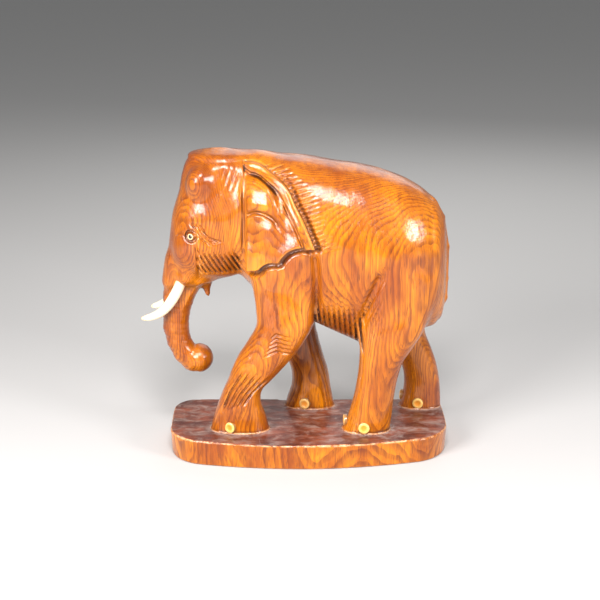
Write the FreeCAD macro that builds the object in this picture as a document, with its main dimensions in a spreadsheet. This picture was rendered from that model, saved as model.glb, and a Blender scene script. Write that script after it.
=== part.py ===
# A carved elephant walking on a thick oblong plinth.
#
# Elephant and plinth are one block of wood. Both tusks, both eyes with their pupils and the twelve
# toenails are separate pieces, each glued into a socket that was cut for it.
#
# Frame: millimetres, +Z up, the elephant faces -X, its left side is towards -Y. The origin is the
# middle of the plinth's underside. The elephant stands nearer the plinth's far edge, so its own
# middle plane is at Y = stance_shift. Everything below is drawn about the plane Y = 0 and moved
# there by the Placement of each finished piece.
import FreeCAD, Part

import math
import os

import Sketcher

from FreeCAD import Placement, Rotation, Vector

doc = FreeCAD.newDocument("carved_elephant")
sheet = doc.addObject("Spreadsheet::Sheet", "sizes")
next_row = [1]
UP = Vector(0, 0, 1)
ACROSS = Vector(0, 1, 0)


def size(alias, value):
    """Keeps one driving dimension in the sheet under a name of its own, and gives its value back."""
    cell = "A%d" % next_row[0]
    next_row[0] += 1
    sheet.set(cell, str(value))
    sheet.setAlias(cell, alias)
    return value


# Plinth
PLINTH_LENGTH = size("plinth_length", 258)
PLINTH_DEPTH = size("plinth_depth", 118)
size("plinth_thick", 24)
size("near_corner", 48)
size("far_corner", 22)
size("plinth_flare", 3)
STANCE_SHIFT = size("stance_shift", 14.5)

# Inlays. A socket is wider and deeper than its piece by the glue gap.
size("glue_gap", 0.05)
size("eye_radius", 2.9)
size("eye_thick", 3.0)
EYE_PROUD = size("eye_proud", 0.7)
size("pupil_radius", 1.8)
size("pupil_thick", 1.6)
size("pupil_proud", 0.3)
size("nail_radius", 5.3)
size("nail_thick", 3.4)
size("nail_proud", 1.2)
size("tusk_radius", 4.7)
size("tusk_root", 14)
SOCKET_CLEAR = size("socket_clear", 20)  # how far each cutter reaches out past the surface
RAY_REACH = 120  # longer than any way out of the carving

# Each solid of the carving is a loft through ellipses that lie across it. A row holds
# (x, y, z, radius along, radius across, tilt): the ellipse's centre, its half length in the side
# plane, its half width across, and how far the half length leans up from level, in degrees.
TORSO = [
    (-66, 0, 222, 58, 32, 90),
    (-42, 0, 212, 72, 46, 90),
    (-10, 0, 204, 79, 52, 90),
    (26, 0, 194.5, 83, 54, 90),
    (62, 0, 185.5, 84, 54, 90),
    (92, 0, 184, 74, 49, 90),
    (114, 0, 181, 58, 38, 90),
    (124, 0, 180, 42, 26, 90),
    (129, 0, 180, 22, 13, 90),
]
HEAD_AND_TRUNK = [
    (-82, 0, 285, 16, 10, 0),
    (-81, 0, 279, 30, 23, 0),
    (-81, 0, 266, 36, 32, 0),
    (-82, 0, 247, 39, 38, 0),
    (-86, 0, 224, 40.5, 39, 0),
    (-90, 0, 200, 41, 36, 0),
    (-101, 0, 178, 34, 27, 0),
    (-115, 0, 155, 20, 18.5, 0),
    (-121.5, 0, 136, 14, 13.4, 0),
    (-122.6, 0, 117, 11.6, 11, 0),
    (-121.4, 0, 101, 10.8, 10.4, 0),
    (-119, 0, 90, 9, 9, 0),
    (-116, 0, 82, 6, 6, 0),
]
TRUNK_BEND = (-113.6, 0, 84.5, 12.8, 13.2, 10.5)
TRUNK_TIP = (-102.5, 0, 84, 13.5, 13.9, 11.6)
JAW = (-82, 0, 182, 27, 20, 24)
LIP = [
    (-96, 0, 163, 12, 8, 0),
    (-94, 0, 152, 8, 5.5, 0),
    (-92.5, 0, 142.5, 2.5, 2, 0),
]
TAIL = [
    (106, 0, 240, 6, 5, 0),
    (119, 0, 218, 6, 5, 0),
    (125.5, 0, 188, 5.5, 4.5, 0),
    (125.5, 0, 160, 5.5, 4.5, 0),
    (123, 0, 140, 7, 6.5, 0),
    (120, 0, 126, 3, 2.5, 0),
]
# The legs stride: left fore leg forward, right fore leg back, left hind leg forward, right hind back.
FORE_LEFT = [
    (-64, -31, 24, 28, 16, 0),
    (-64, -32, 38, 24.5, 16.4, 0),
    (-63.5, -33, 53, 19.5, 17, 0),
    (-60, -33, 67, 18.5, 17.5, 0),
    (-46, -33, 84, 24, 18.5, 0),
    (-34, -33, 106, 25, 19, 0),
    (-23, -33, 130, 26, 20, 0),
    (-21, -28, 165, 27, 19, 0),
    (-24, -22, 205, 24, 15, 0),
]
FORE_RIGHT = [
    (1, 29.5, 24, 25, 14.6, 0),
    (2, 31.5, 42, 20.5, 15, 0),
    (1.5, 33, 58, 18.5, 16, 0),
    (-3, 33, 74, 18.5, 17.5, 0),
    (-10, 33, 96, 19, 18, 0),
    (-16, 33, 124, 23, 20, 0),
    (-21, 28, 165, 27, 19, 0),
    (-24, 22, 205, 24, 15, 0),
]
HIND_LEFT = [
    (53, -31.5, 24, 22, 16.5, 0),
    (57, -32.3, 41, 20, 16.5, 0),
    (60.5, -33, 58, 18.5, 16.5, 0),
    (63.5, -33, 78, 19, 17.5, 0),
    (69.5, -33, 99, 22.5, 19, 0),
    (77, -32, 124, 29, 21, 0),
    (82, -27, 152, 31, 21, 0),
    (83, -20, 182, 27, 17, 0),
]
HIND_RIGHT = [
    (107.5, 29.5, 24, 19.8, 14.6, 0),
    (109, 31, 36, 18, 14.6, 0),
    (109.5, 33, 54, 16.6, 15, 0),
    (101.5, 33, 79, 17.2, 16, 0),
    (92.5, 33, 102, 19.5, 17.6, 0),
    (87, 32, 124, 26, 20.5, 0),
    (85, 27, 150, 30, 21, 0),
    (82, 20, 192, 27, 16, 0),
]
# Left ear, as a flat outline in the side plane, from the top of its front edge backwards.
EAR_TOP = [(-63, 270), (-50, 278), (-36, 272), (-20, 259), (-12, 244), (-4, 227), (7, 205)]
EAR_FOOT = [(-8, 202), (-20, 203), (-29, 193), (-40, 190), (-50, 184), (-62, 186)]
size("ear_thick", 14)
EAR_OUT = size("ear_out", 48.5)
EAR_LEAN_DEGREES = size("ear_lean", 11)
EAR_SPREAD_DEGREES = size("ear_spread", 15)

# Tusks: the left tusk's centre line from inside its socket to its tip, and its radius there.
TUSK_LINE = [
    (-120, -17.0, 157.5, 4.7),
    (-124, -18.2, 149.5, 4.8),
    (-130, -20.0, 141.5, 4.6),
    (-138, -22.4, 134.5, 4.1),
    (-147, -24.8, 130.5, 3.1),
    (-154.5, -26.4, 129.0, 1.5),
]
size("sheath_top", 11)
size("sheath_mouth", 7.4)
SHEATH_BACK = size("sheath_back", 1.5)  # its mouth stops this far short of the bare tusk
size("sheath_length", 26)

# Left eye: where a line straight across the head meets the eye, and how far the eye looks forward.
EYE_X, EYE_Z, EYE_FORWARD_DEGREES = -106, 208.5, 26
EYE_DEPTH_START = 20  # beside the middle plane, still well inside the head

# Toenails: how far the middle of each is above the plinth, and its bearing round each foot, 0
# straight ahead and 90 outwards. The carver set them by eye, so no two feet are quite alike.
NAIL_UP = {"outer": 6.2, "front": 8.5, "inner": 6.2}
BEARINGS = {
    "front_left": {"outer": 60, "front": -38, "inner": -95},
    "front_right": {"outer": 88, "front": 34, "inner": -72},
    "hind_left": {"outer": 82, "front": 3, "inner": -72},
    "hind_right": {"outer": 86, "front": 16, "inner": -80},
}


def ellipse(name, row):
    """One cross-section, bound to its own cells of the sheet."""
    x, y, z, along, across, tilt = row
    ring = doc.addObject("Part::Ellipse", name)
    ring.Placement = Placement(Vector(x, y, z), Rotation(ACROSS, -tilt))
    for field, value in (("x", x), ("y", y), ("z", z), ("along", along), ("across", across)):
        size("%s_%s" % (name, field), value)
    ring.setExpression("MajorRadius", "sizes.%s_along" % name)
    ring.setExpression("MinorRadius", "sizes.%s_across" % name)
    ring.setExpression(".Placement.Base.x", "sizes.%s_x" % name)
    ring.setExpression(".Placement.Base.y", "sizes.%s_y" % name)
    ring.setExpression(".Placement.Base.z", "sizes.%s_z" % name)
    return ring


def loft(name, rows):
    """A closed solid through a list of cross-sections."""
    solid = doc.addObject("Part::Loft", name)
    solid.Sections = [ellipse("%s_ring_%d" % (name, i), row) for i, row in enumerate(rows)]
    solid.Solid = True
    solid.Ruled = False
    return solid


def mirrored(source, name):
    """The same shape on the elephant's right side."""
    twin = doc.addObject("Part::Mirroring", name)
    twin.Source = source
    twin.Normal = ACROSS
    return twin


def cylinder(name, radius, height):
    """A round peg or cutter along its own +Z; radius and height are expressions of the sheet."""
    peg = doc.addObject("Part::Cylinder", name)
    peg.setExpression("Radius", radius)
    peg.setExpression("Height", height)
    return peg


def aim(point, direction):
    """A Placement at point whose +Z looks along direction."""
    return Placement(Vector(*point), Rotation(UP, direction))


def plane_of(body, role):
    """One of a body's own origin planes."""
    return next(feature for feature in body.Origin.OriginFeatures if feature.Role == role)


def plinth():
    """The oblong plinth with rounded corners, whose wall flares outwards towards the top."""
    body = doc.addObject("PartDesign::Body", "plinth")
    outline = body.newObject("Sketcher::SketchObject", "plinth_outline")
    outline.AttachmentSupport = [(plane_of(body, "XY_Plane"), "")]
    outline.MapMode = "FlatFace"
    corners = [
        (1, 1, "far_corner"),
        (-1, 1, "far_corner"),
        (-1, -1, "near_corner"),
        (1, -1, "near_corner"),
    ]
    arcs = []
    for turn, (side_x, side_y, alias) in enumerate(corners):
        radius = sheet.get(alias)
        centre = Vector(side_x * (PLINTH_LENGTH / 2 - radius), side_y * (PLINTH_DEPTH / 2 - radius), 0)
        arc = Part.ArcOfCircle(Part.Circle(centre, UP, radius), math.pi / 2 * turn, math.pi / 2 * (turn + 1))
        index = outline.addGeometry(arc, False)
        arcs.append((index, arc))
        size_of = outline.addConstraint(Sketcher.Constraint("Radius", index, radius))
        place_x = outline.addConstraint(Sketcher.Constraint("DistanceX", -1, 1, index, 3, centre.x))
        place_y = outline.addConstraint(Sketcher.Constraint("DistanceY", -1, 1, index, 3, centre.y))
        outline.setExpression("Constraints[%d]" % size_of, "sizes." + alias)
        long_way = "%d * (sizes.plinth_length / 2 - sizes.%s)" % (side_x, alias)
        deep_way = "%d * (sizes.plinth_depth / 2 - sizes.%s)" % (side_y, alias)
        outline.setExpression("Constraints[%d]" % place_x, long_way)
        outline.setExpression("Constraints[%d]" % place_y, deep_way)
    for i, (index, arc) in enumerate(arcs):
        following, next_arc = arcs[(i + 1) % len(arcs)]
        line = outline.addGeometry(Part.LineSegment(arc.EndPoint, next_arc.StartPoint), False)
        outline.addConstraint(Sketcher.Constraint("Tangent", index, 2, line, 1))
        outline.addConstraint(Sketcher.Constraint("Tangent", line, 2, following, 1))
    slab = body.newObject("PartDesign::Pad", "plinth_slab")
    slab.Profile = outline
    slab.setExpression("Length", "sizes.plinth_thick")
    slab.setExpression("TaperAngle", "sizes.plinth_flare")
    body.Placement = Placement(Vector(0, -STANCE_SHIFT, 0), Rotation())
    body.setExpression(".Placement.Base.y", "-sizes.stance_shift")
    return body


def left_ear():
    """The left ear, a leaf that stands out from the head towards its rear tip."""
    outline = doc.addObject("Sketcher::SketchObject", "ear_outline")
    outline.Placement = Placement(Vector(0, 0, 0), Rotation(Vector(1, 0, 0), 90))
    points = [Vector(x, z, 0) for x, z in EAR_TOP + EAR_FOOT]
    for start, end in zip(points, points[1:] + points[:1]):
        outline.addGeometry(Part.LineSegment(start, end), False)
    for i in range(len(points)):
        following = (i + 1) % len(points)
        outline.addConstraint(Sketcher.Constraint("Coincident", i, 2, following, 1))
        outline.addConstraint(Sketcher.Constraint("Block", i))
    leaf = doc.addObject("Part::Extrusion", "ear_leaf")
    leaf.Base = outline
    leaf.DirMode = "Custom"
    leaf.Dir = ACROSS
    leaf.setExpression("LengthFwd", "sizes.ear_thick")
    leaf.Solid = True
    hinge_x, hinge_z = EAR_TOP[0][0], EAR_FOOT[-1][1]
    lean = Rotation(Vector(1, 0, 0), -EAR_LEAN_DEGREES)
    spread = Rotation(UP, -EAR_SPREAD_DEGREES)
    turn = lean.multiply(spread)
    hinge = Vector(hinge_x, 0, hinge_z)
    leaf.Placement = Placement(Vector(0, -EAR_OUT, 0), turn, hinge)
    return leaf


def tusk_way():
    """Where the left tusk's straight root ends, and the way it points from there into the head."""
    first, second = (Vector(*row[:3]) for row in TUSK_LINE[:2])
    return first, (first - second).normalize()


def left_sheath():
    """The swelling beside the trunk that the left tusk comes out of."""
    mouth, inwards = tusk_way()
    cone = doc.addObject("Part::Cone", "sheath")
    cone.setExpression("Radius1", "sizes.sheath_mouth")
    cone.setExpression("Radius2", "sizes.sheath_top")
    cone.setExpression("Height", "sizes.sheath_length")
    cone.Placement = aim(mouth + inwards * SHEATH_BACK, inwards)
    return cone


def ellipsoid(name, row):
    """An egg shape: its centre, half length, half height and half width."""
    x, y, z, half_length, half_height, half_width = row
    egg = doc.addObject("Part::Ellipsoid", name)
    for field, value in (("width", half_width), ("height", half_height), ("length", half_length)):
        size("%s_%s" % (name, field), value)
    egg.setExpression("Radius1", "sizes.%s_width" % name)
    egg.setExpression("Radius2", "sizes.%s_height" % name)
    egg.setExpression("Radius3", "sizes.%s_length" % name)
    egg.Placement = aim((x, y, z), ACROSS)
    return egg


def on_surface(solid, inside, outwards):
    """The point where a straight line from inside the solid leaves it."""
    ray = Part.makeLine(inside, inside + outwards * RAY_REACH)
    stretch = min(solid.common(ray).Edges, key=lambda edge: edge.distToShape(Part.Vertex(inside))[0])
    return max((vertex.Point for vertex in stretch.Vertexes), key=lambda p: (p - inside).Length)


def inlay(name, surface, outwards, radius, thick, proud):
    """A round peg set square into a surface, and the cutter of its socket; sizes are sheet aliases."""
    depth = sheet.get(thick) - sheet.get(proud)
    gap = sheet.get("glue_gap")
    peg = cylinder(name, "sizes." + radius, "sizes." + thick)
    peg.Placement = aim(surface - outwards * depth, outwards)
    wide, long = "sizes.%s + sizes.glue_gap" % radius, "sizes.%s + sizes.socket_clear" % thick
    cutter = cylinder(name + "_socket", wide, long)
    cutter.Placement = aim(surface - outwards * (depth + gap), outwards)
    return peg, cutter


def cut(name, base, tools):
    """The base less all the tools."""
    joined = tools[0]
    if len(tools) > 1:
        joined = doc.addObject("Part::MultiFuse", name + "_cutters")
        joined.Shapes = tools
    result = doc.addObject("Part::Cut", name)
    result.Base = base
    result.Tool = joined
    return result


def head_with_eyes():
    """The head with a socket cut for each eye, and the two eyes: a pale disc, a dark pupil in it."""
    bare = loft("head", HEAD_AND_TRUNK)
    doc.recompute()
    forward = math.radians(EYE_FORWARD_DEGREES)
    sockets, eyes = [], []
    for side, sign in (("left", -1), ("right", 1)):
        outwards = Vector(-math.sin(forward), sign * math.cos(forward), 0)
        inside = Vector(EYE_X, sign * EYE_DEPTH_START, EYE_Z)
        surface = on_surface(bare.Shape, inside, Vector(0, sign, 0))
        disc, socket = inlay("eye_disc_" + side, surface, outwards, "eye_radius", "eye_thick", "eye_proud")
        front = surface + outwards * EYE_PROUD
        dot, hollow = inlay("dot_" + side, front, outwards, "pupil_radius", "pupil_thick", "pupil_proud")
        eyes.append((cut("eye_ring_" + side, disc, [hollow]), "eye_" + side))
        eyes.append((dot, "pupil_" + side))
        sockets.append(socket)
    return cut("head_cut", bare, sockets), eyes


def carving_block(head):
    """Elephant and plinth as one solid, before the sockets of its tusks and toenails are cut."""
    ear = left_ear()
    sheath = left_sheath()
    block = doc.addObject("Part::MultiFuse", "block")
    block.Shapes = [
        plinth(),
        loft("torso", TORSO),
        head,
        ellipsoid("jaw", JAW),
        ellipsoid("trunk_bend", TRUNK_BEND),
        ellipsoid("trunk_tip", TRUNK_TIP),
        loft("lip", LIP),
        loft("tail", TAIL),
        loft("fore_left", FORE_LEFT),
        loft("fore_right", FORE_RIGHT),
        loft("hind_left", HIND_LEFT),
        loft("hind_right", HIND_RIGHT),
        ear,
        mirrored(ear, "right_ear"),
        sheath,
        mirrored(sheath, "right_sheath"),
    ]
    block.Refine = True
    return block


def tusk(name, socket_name):
    """The left tusk: a straight root as deep as its socket, then a curve that tapers to the tip."""
    mouth, inwards = tusk_way()
    root = cylinder(name + "_root", "sizes.tusk_radius", "sizes.tusk_root")
    root.Placement = aim(mouth, inwards)
    rings = []
    points = [Vector(*row[:3]) for row in TUSK_LINE]
    for i, (point, row) in enumerate(zip(points, TUSK_LINE)):
        before, after = points[max(i - 1, 0)], points[min(i + 1, len(points) - 1)]
        ring = doc.addObject("Part::Circle", "%s_ring_%d" % (name, i))
        size("%s_ring_%d_radius" % (name, i), row[3])
        ring.setExpression("Radius", "sizes.%s_ring_%d_radius" % (name, i))
        way = (before - after).normalize() if i else inwards
        ring.Placement = aim(point, way)
        rings.append(ring)
    curve = doc.addObject("Part::Loft", name + "_curve")
    curve.Sections = rings
    curve.Solid = True
    whole = doc.addObject("Part::Fuse", name)
    whole.Base = root
    whole.Tool = curve
    deep = "sizes.tusk_root + sizes.socket_clear + sizes.glue_gap"
    socket = cylinder(socket_name, "sizes.tusk_radius + sizes.glue_gap", deep)
    socket.Placement = aim(mouth - inwards * SOCKET_CLEAR, inwards)
    return whole, socket


def finish(piece, label):
    """Names a finished piece and stands it in its place on the plinth."""
    piece.Label = label
    middle = Placement(Vector(0, STANCE_SHIFT, 0), Rotation())
    piece.Placement = middle.multiply(piece.Placement)
    finished.append(piece)
    return piece


finished = []
head, pieces = head_with_eyes()
block = carving_block(head)
doc.recompute()
solid = block.Shape
cutters = []

# Tusks
left_tusk, left_tusk_socket = tusk("tusk", "tusk_socket")
pieces.append((left_tusk, "tusk_left"))
pieces.append((mirrored(left_tusk, "tusk_mirror"), "tusk_right"))
cutters += [left_tusk_socket, mirrored(left_tusk_socket, "tusk_socket_mirror")]

# Toenails, three round inlays low on the front of each foot
FEET = [
    ("front_left", FORE_LEFT[0], -1),
    ("front_right", FORE_RIGHT[0], 1),
    ("hind_left", HIND_LEFT[0], -1),
    ("hind_right", HIND_RIGHT[0], 1),
]
for foot, (x, y, z, _, _, _), sign in FEET:
    for place, bearing in BEARINGS[foot].items():
        turn = math.radians(bearing)
        outwards = Vector(-math.cos(turn), sign * math.sin(turn), 0)
        surface = on_surface(solid, Vector(x, y, z + NAIL_UP[place]), outwards)
        name = "nail_%s_%s" % (foot, place)
        peg, cutter = inlay(name, surface, outwards, "nail_radius", "nail_thick", "nail_proud")
        pieces.append((peg, name.replace("nail", "toenail")))
        cutters.append(cutter)

carving = cut("carving", block, cutters)
doc.recompute()
finish(carving, "elephant_carving")
for piece, label in pieces:
    finish(piece, label)
doc.recompute()

for item in doc.Objects:
    if "Invalid" in item.State or "Error" in item.State:
        raise RuntimeError("%s failed: %s" % (item.Name, item.State))
for piece in finished:
    if piece.Shape.isNull() or not piece.Shape.isValid():
        raise RuntimeError("%s has no valid shape" % piece.Label)
    if len(piece.Shape.Solids) != 1:
        raise RuntimeError("%s is %d solids" % (piece.Label, len(piece.Shape.Solids)))

os.makedirs("parts", exist_ok=True)
for piece in finished:
    piece.Shape.exportStep("parts/%s.step" % piece.Label)
    box = piece.Shape.BoundBox
    print(
        "%-28s volume %9.1f  x %7.1f %7.1f  y %6.1f %6.1f  z %6.1f %6.1f"
        % (piece.Label, piece.Shape.Volume, box.XMin, box.XMax, box.YMin, box.YMax, box.ZMin, box.ZMax)
    )
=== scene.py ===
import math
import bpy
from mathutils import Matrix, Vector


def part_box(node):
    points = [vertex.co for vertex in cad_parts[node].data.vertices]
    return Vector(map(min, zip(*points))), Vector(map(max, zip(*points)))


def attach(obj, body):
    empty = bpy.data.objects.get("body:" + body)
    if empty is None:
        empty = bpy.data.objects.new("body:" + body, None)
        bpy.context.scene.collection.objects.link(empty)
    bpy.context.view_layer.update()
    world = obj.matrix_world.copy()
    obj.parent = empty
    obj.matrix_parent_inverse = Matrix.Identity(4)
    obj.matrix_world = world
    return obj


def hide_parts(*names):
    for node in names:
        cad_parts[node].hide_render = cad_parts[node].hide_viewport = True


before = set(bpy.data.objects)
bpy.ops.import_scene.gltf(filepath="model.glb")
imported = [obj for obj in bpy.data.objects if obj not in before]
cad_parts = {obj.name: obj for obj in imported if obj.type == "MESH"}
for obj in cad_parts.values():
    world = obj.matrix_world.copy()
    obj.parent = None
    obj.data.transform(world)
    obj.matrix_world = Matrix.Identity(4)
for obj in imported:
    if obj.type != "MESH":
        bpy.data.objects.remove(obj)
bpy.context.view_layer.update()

# A carved and lacquered elephant on its plinth. The carving is modelled as a distance field in
# millimetres: smooth limbs first, then ears, folds and every cut of the gouge. The field is meshed
# once. All measures below are millimetres in the frame of the CAD model, unless a comment says
# metres, and "mid" is Y from the elephant's own middle plane. "side" is the distance from that
# plane, to the left or to the right, so what is written with it comes out on both sides.
from concurrent.futures import ThreadPoolExecutor

import bpy
import bmesh
import numpy as np
import openvdb
from mathutils import Matrix, Vector

MM = 0.001
BODY = "root"
# Where the elephant's own middle plane stands, and the eyes' place in the side plane (x, z)
STANCE = sum(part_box("eye_left")[i][1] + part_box("eye_right")[i][1] for i in (0, 1)) / 4 / MM
EYE_SPOT = [sum(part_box("eye_left")[i][axis] for i in (0, 1)) / 2 / MM for axis in (0, 2)]
# The grid: its pitch, how many pitches make a coarse block, and the largest distance that it holds
VOXEL = 0.8
BLOCK = 4
FAR = 4.0
# Points worked out at a time, and the threads that share them
BATCH = 200000
THREADS = 4
SEED = 11


# ---------------------------------------------------------------- distance field tools

def smooth_step(edge0, edge1, value):
    """0 below edge0, 1 above edge1, and a smooth way between; edge0 may be the larger."""
    part = np.clip((value - edge0) / (edge1 - edge0), 0.0, 1.0)
    return part * part * (3.0 - 2.0 * part)


def join(a, b, radius):
    """Smooth union with a fillet of about this radius."""
    mix = np.maximum(radius - np.abs(a - b), 0.0) / radius
    return np.minimum(a, b) - mix * mix * radius * 0.25


def join_max(a, b, radius):
    """Smooth intersection with a rounded edge."""
    return -join(-a, -b, radius)


def carve(a, b, radius):
    """a less b, with a softened edge."""
    return -join(-a, b, radius)


def hump(value, centre, half):
    """A smooth bump from 0 to 1 and back, half wide on each side."""
    part = np.clip(1.0 - np.abs(value - centre) / half, 0.0, 1.0)
    return part * part * (3.0 - 2.0 * part)


def spline(rows, samples=240):
    """Rows of numbers, sorted by their first, turned into a smooth table that look_up reads."""
    rows = np.array(sorted(rows), float)
    knots = rows[:, 0]
    fine = np.linspace(knots[0], knots[-1], samples)
    slopes = np.gradient(rows[:, 1:], knots, axis=0)
    spot = np.clip(np.searchsorted(knots, fine, side="right") - 1, 0, len(knots) - 2)
    width = knots[spot + 1] - knots[spot]
    u = ((fine - knots[spot]) / width)[:, None]
    a, b = rows[spot, 1:], rows[spot + 1, 1:]
    ma, mb = slopes[spot] * width[:, None], slopes[spot + 1] * width[:, None]
    values = (
        (2 * u**3 - 3 * u**2 + 1) * a
        + (u**3 - 2 * u**2 + u) * ma
        + (3 * u**2 - 2 * u**3) * b
        + (u**3 - u**2) * mb
    )
    return fine, values


def look_up(table, at):
    """The columns of a table at each value of its first number."""
    fine, values = table
    return [np.interp(at, fine, values[:, i]).astype(np.float32) for i in range(values.shape[1])]


def oval(u, v, ru, rv, power=2.0):
    """Distance, near the surface, to an oval of half sizes ru and rv; a higher power is squarer."""
    a, b = np.abs(u / ru), np.abs(v / rv)
    k = (a**power + b**power) ** (1.0 / power) + 1e-4
    slope = np.sqrt((a ** (power - 1) / ru) ** 2 + (b ** (power - 1) / rv) ** 2) / k ** (power - 1)
    return (k - 1.0) / np.maximum(slope, 1e-3)


def limb(along, u, v, table, power=2.0, cap=3.0):
    """A limb along one axis; table rows are (along, u centre, v centre, u radius, v radius)."""
    cu, cv, ru, rv = look_up(table, along)
    body = oval(u - cu, v - cv, np.maximum(ru, 0.5), np.maximum(rv, 0.5), power)
    ends = np.maximum(table[0][0] - along, along - table[0][-1])
    return join_max(body, ends, cap)


def egg(p, centre, radii):
    """Distance, near the surface, to an ellipsoid."""
    q = [(p[i] - centre[i]) / radii[i] for i in range(3)]
    k0 = np.sqrt(q[0] ** 2 + q[1] ** 2 + q[2] ** 2) + 1e-4
    k1 = np.sqrt(sum((q[i] / radii[i]) ** 2 for i in range(3))) + 1e-6
    return k0 * (k0 - 1.0) / k1


def bead_chain(p, points):
    """Round cones joined end to end; points are (x, y, z, radius)."""
    best = None
    for a, b in zip(points[:-1], points[1:]):
        axis = [b[i] - a[i] for i in range(3)]
        length2 = sum(c * c for c in axis)
        t = sum((p[i] - a[i]) * axis[i] for i in range(3)) / length2
        t = np.clip(t, 0.0, 1.0)
        gap = np.sqrt(sum((p[i] - a[i] - axis[i] * t) ** 2 for i in range(3)))
        piece = gap - (a[3] + (b[3] - a[3]) * t)
        best = piece if best is None else join(best, piece, 1.5)
    return best


def polyline_distance(u, v, points):
    """Plain distance in a plane to an open line of points, and how far along it, from 0 to 1."""
    best = np.full_like(u, 1e6)
    place = np.zeros_like(u)
    lengths = [math.dist(a, b) for a, b in zip(points[:-1], points[1:])]
    total, done = sum(lengths), 0.0
    for (a, b), length in zip(zip(points[:-1], points[1:]), lengths):
        t = ((u - a[0]) * (b[0] - a[0]) + (v - a[1]) * (b[1] - a[1])) / length**2
        t = np.clip(t, 0.0, 1.0)
        gap = np.hypot(u - a[0] - (b[0] - a[0]) * t, v - a[1] - (b[1] - a[1]) * t)
        nearer = gap < best
        place = np.where(nearer, (done + t * length) / total, place)
        best = np.where(nearer, gap, best)
        done += length
    return best, place


def rounded_line(points, rounds=2):
    """The same line with its corners cut in turn, which rounds them."""
    for _ in range(rounds):
        cut = [points[0]]
        for a, b in zip(points[:-1], points[1:]):
            cut.append((a[0] * 0.75 + b[0] * 0.25, a[1] * 0.75 + b[1] * 0.25))
            cut.append((a[0] * 0.25 + b[0] * 0.75, a[1] * 0.25 + b[1] * 0.75))
        points = cut + [points[-1]]
    return points


def inside_polygon(u, v, points):
    """Signed distance in a plane to a closed outline, below 0 inside."""
    ring = list(points) + [points[0]]
    best, _ = polyline_distance(u, v, ring)
    odd = np.zeros(u.shape, bool)
    for a, b in zip(ring[:-1], ring[1:]):
        if a[1] == b[1]:
            continue
        crosses = (a[1] > v) != (b[1] > v)
        at = a[0] + (v - a[1]) * (b[0] - a[0]) / (b[1] - a[1])
        odd ^= crosses & (u < at)
    return np.where(odd, -best, best)


def wobble(x, y, z, scale, seed):
    """Smooth noise between about -1 and 1, from a few crossed waves."""
    rng = np.random.default_rng(seed)
    total = np.zeros_like(x)
    for _ in range(5):
        way = rng.normal(size=3)
        way *= (0.7 + 0.6 * rng.random()) / np.linalg.norm(way) / scale
        total += np.sin(x * way[0] + y * way[1] + z * way[2] + rng.random() * 2 * math.pi)
    return total / 3.0


def groove_set(u, spacing, wander, sharp=1.6):
    """Parallel gouge cuts that repeat along u: 0 on a land, 1 at the bottom of a cut."""
    lane = (u + wander) / spacing
    return np.maximum(1.0 - np.abs(2.0 * (lane - np.floor(lane)) - 1.0) * sharp, 0.0)


def groove_line(u, v, points, half):
    """One gouge cut along a line, fading at its ends."""
    gap, place = polyline_distance(u, v, points)
    fade = smooth_step(0.0, 0.15, place) * smooth_step(1.0, 0.8, place)
    return hump(gap, 0.0, half) * (0.25 + 0.75 * fade)


# ---------------------------------------------------------------- the limbs

# Torso, along x: (x, side centre, z centre, half width, half height)
TORSO = spline([
    (-74, 0, 226, 24, 44),
    (-60, 0, 219, 34, 57),
    (-42, 0, 211, 44, 65.5),
    (-10, 0, 201.5, 50, 74),
    (26, 0, 190.5, 52.5, 80),
    (62, 0, 181, 52, 83),
    (90, 0, 180, 47.5, 73.5),
    (108, 0, 178, 39, 64),
    (119, 0, 174.5, 30, 55),
    (125, 0, 171, 17, 40),
    (127.5, 0, 170, 6, 20),
])
# Head, along z: (z, x centre, side centre, half length, half width)
HEAD = spline([
    (282.5, -82, 0, 8, 4),
    (280, -81.5, 0, 21, 14),
    (272.5, -80.5, 0, 29.5, 23),
    (260.5, -80, 0, 35, 29),
    (243.5, -81, 0, 37.5, 33),
    (223.5, -84.7, 0, 39.7, 36),
    (201.5, -87, 0, 40.5, 34),
    (183.5, -91.7, 0, 38.3, 29),
    (169.5, -101.7, 0, 30.8, 22),
    (157.5, -111.5, 0, 22.5, 17.5),
])
# Trunk, lip and tail, as chains of round cones: (x, side centre, z, radius)
TRUNK = [
    (-113, 0, 174, 19),
    (-117, 0, 158, 17.5),
    (-121, 0, 142.5, 14.6),
    (-123.4, 0, 127, 12.6),
    (-124, 0, 113.5, 11.9),
    (-121.8, 0, 100, 11.2),
    (-116.4, 0, 88.5, 11.2),
    (-108.5, 0, 82, 12.2),
    (-103, 0, 82.5, 13.6),
]
LIP = [(-97, 0, 166, 9), (-95.5, 0, 156, 5.6), (-93.8, 0, 146, 2.2), (-93.2, 0, 143.5, 1.0)]
# The sleeve of wood round each tusk's root
SHEATH = [(-103, 15, 186, 9.5), (-109.5, 16.5, 173, 9.0), (-112.5, 17, 167, 8.4)]
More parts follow.
